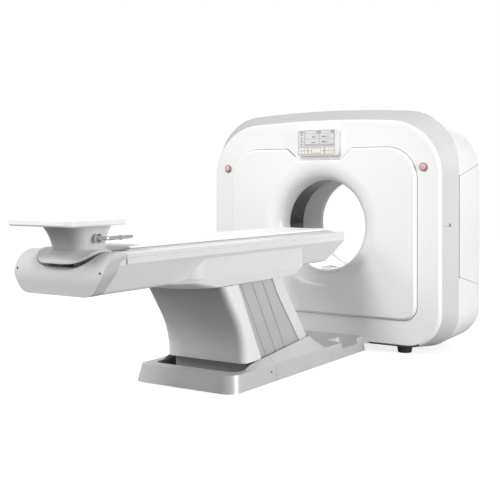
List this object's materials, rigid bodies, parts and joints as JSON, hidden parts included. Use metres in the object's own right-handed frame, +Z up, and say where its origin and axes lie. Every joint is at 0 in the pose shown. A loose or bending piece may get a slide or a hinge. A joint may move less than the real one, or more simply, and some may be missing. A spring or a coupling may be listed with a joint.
{
  "type": "ct scanner",
  "caption": "Computed tomography scanner: a rounded gantry with a flared bore and console, and a patient table on a leaning lift pedestal whose cradle slides into the bore.",
  "frame": {"origin": "floor point under the centre of the footprint of gantry and table together", "axes": "+X to the right of a person standing at the foot end and facing the gantry, +Y along the table towards the gantry back, +Z up"},
  "size_m": [2.2, 3.835, 1.8979],
  "materials": {
    "cover_white": "gloss white moulded cover",
    "band_silver": "fine silver-grey metallic paint",
    "slat_grey": "satin grey paint",
    "neck_grey": "satin silver-grey paint",
    "window_dark": "matt dark X-ray window",
    "screen": "glossy display front",
    "keys_cream": "matt cream membrane",
    "stop_red": "glossy red cap",
    "collar_dark": "matt dark collar",
    "lock_steel": "brushed",
    "chrome": "polished",
    "rubber": "black rubber",
    "frame_paint": "grey structural paint",
    "steel": "machined steel",
    "alu": "cast aluminium",
    "box_paint": "grey enclosure paint",
    "pad_white": "white coated pad",
    "cradle_grey": "light composite"
  },
  "bodies": {
    "base": {"gantry_frame": "frame_paint", "levelling_feet": "rubber", "front_cover": "cover_white", "front_face_panel": "cover_white", "lower_front_panel": "cover_white", "scan_window_ring": "window_dark", "side_band": "band_silver", "rear_cover": "cover_white", "rear_side_panel_left": "cover_white", "rear_side_panel_right": "cover_white", "console_housing": "collar_dark", "display_screen": "screen", "keypad": "keys_cream", "estop_collars": "collar_dark", "bearing_outer_race": "steel", "drive_motor": "box_paint", "drive_belt": "rubber", "brush_block": "collar_dark", "base_frame": "frame_paint", "plinth_foot_cover": "band_silver", "plinth_middle_cover": "band_silver", "plinth_rear_cover": "band_silver", "pedestal_kick_panel": "band_silver", "lift_ram_housing": "steel", "base_shafts": "steel"},
    "rotor": {"rotor_disc": "alu", "bearing_inner_race": "steel", "slip_ring": "steel", "xray_tube": "alu", "collimator": "steel", "detector_arc": "alu", "high_voltage_generator": "box_paint", "heat_exchanger": "alu", "data_power_box": "box_paint"},
    "pulley": {"motor_pulley": "steel"},
    "stop_left": {"estop_button_left": "stop_red"},
    "stop_right": {"estop_button_right": "stop_red"},
    "lock_left": {"cover_lock_left": "lock_steel"},
    "lock_right": {"cover_lock_right": "lock_steel"},
    "front_arm": {"front_lift_arm": "frame_paint", "front_pedestal_cover": "cover_white"},
    "rear_arm": {"rear_lift_arm": "frame_paint", "rear_pedestal_cover": "cover_white"},
    "ram": {"lift_ram_rod": "steel"},
    "slat_1": {"side_slat_1": "slat_grey"},
    "slat_2": {"side_slat_2": "slat_grey"},
    "slat_3": {"side_slat_3": "slat_grey"},
    "slat_4": {"side_slat_4": "slat_grey"},
    "table": {"table_frame": "frame_paint", "saddle_fairing": "cover_white", "boat_shell": "cover_white", "table_deck": "cover_white", "foot_end_cap": "band_silver"},
    "cradle": {"cradle_shell": "cradle_grey", "mattress": "pad_white", "tray_pedestal": "neck_grey", "tray": "cover_white", "handle_left": "chrome", "handle_right": "chrome"}
  },
  "joints": [
    {"name": "rotor_spin", "type": "hinge", "parent": "base", "child": "rotor", "pos_m": [0, 1.5575, 0.968], "axis": [0, 1, 0], "continuous": true},
    {"name": "motor_pulley_spin", "type": "hinge", "parent": "base", "child": "pulley", "pos_m": [0.86, 1.5575, 0.33], "axis": [0, 1, 0], "continuous": true},
    {"name": "estop_left_press", "type": "slide", "parent": "base", "child": "stop_left", "axis": [0, 1, 0], "range_m": [0, 0.005], "stiffness_N_per_m": 800},
    {"name": "estop_right_press", "type": "slide", "parent": "base", "child": "stop_right", "axis": [0, 1, 0], "range_m": [0, 0.005], "stiffness_N_per_m": 800},
    {"name": "cover_lock_left_turn", "type": "hinge", "parent": "base", "child": "lock_left", "pos_m": [-1.0585, 1.2575, 0.99], "axis": [-1, 0, 0], "range_deg": [0, 90]},
    {"name": "cover_lock_right_turn", "type": "hinge", "parent": "base", "child": "lock_right", "pos_m": [1.0585, 1.2575, 0.99], "axis": [1, 0, 0], "range_deg": [0, 90]},
    {"name": "table_lift", "type": "hinge", "parent": "base", "child": "front_arm", "pos_m": [0, -0.2125, 0.135], "axis": [-1, 0, 0], "range_deg": [-40, 0]},
    {"name": "rear_arm_follow", "type": "hinge", "parent": "base", "child": "rear_arm", "pos_m": [0, 0.3275, 0.135], "axis": [-1, 0, 0], "range_deg": [-40, 0]},
    {"name": "frame_level", "type": "hinge", "parent": "front_arm", "child": "table", "pos_m": [0, -0.552, 0.7], "axis": [-1, 0, 0], "range_deg": [0, 40]},
    {"name": "ram_extend", "type": "slide", "parent": "base", "child": "ram", "axis": [0, 1, 0], "range_m": [-0.069, 0]},
    {"name": "slat_1_follow", "type": "hinge", "parent": "base", "child": "slat_1", "pos_m": [0, -0.15033, 0.135], "axis": [-1, 0, 0], "range_deg": [-40, 0]},
    {"name": "slat_2_follow", "type": "hinge", "parent": "base", "child": "slat_2", "pos_m": [0, -0.06433, 0.135], "axis": [-1, 0, 0], "range_deg": [-40, 0]},
    {"name": "slat_3_follow", "type": "hinge", "parent": "base", "child": "slat_3", "pos_m": [0, 0.05867, 0.135], "axis": [-1, 0, 0], "range_deg": [-40, 0]},
    {"name": "slat_4_follow", "type": "hinge", "parent": "base", "child": "slat_4", "pos_m": [0, 0.18817, 0.135], "axis": [-1, 0, 0], "range_deg": [-40, 0]},
    {"name": "cradle_slide", "type": "slide", "parent": "table", "child": "cradle", "axis": [0, 1, 0], "range_m": [0, 1.45]}
  ],
  "couplings": [
    {"joint": "motor_pulley_spin", "follows": "rotor_spin", "ratio": 12.783},
    {"joint": "rear_arm_follow", "follows": "table_lift", "ratio": 1},
    {"joint": "frame_level", "follows": "table_lift", "ratio": -1},
    {"joint": "ram_extend", "follows": "table_lift", "m_per_rad": 0.09801},
    {"joint": "slat_1_follow", "follows": "table_lift", "ratio": 1},
    {"joint": "slat_2_follow", "follows": "table_lift", "ratio": 1},
    {"joint": "slat_3_follow", "follows": "table_lift", "ratio": 1},
    {"joint": "slat_4_follow", "follows": "table_lift", "ratio": 1}
  ]
}
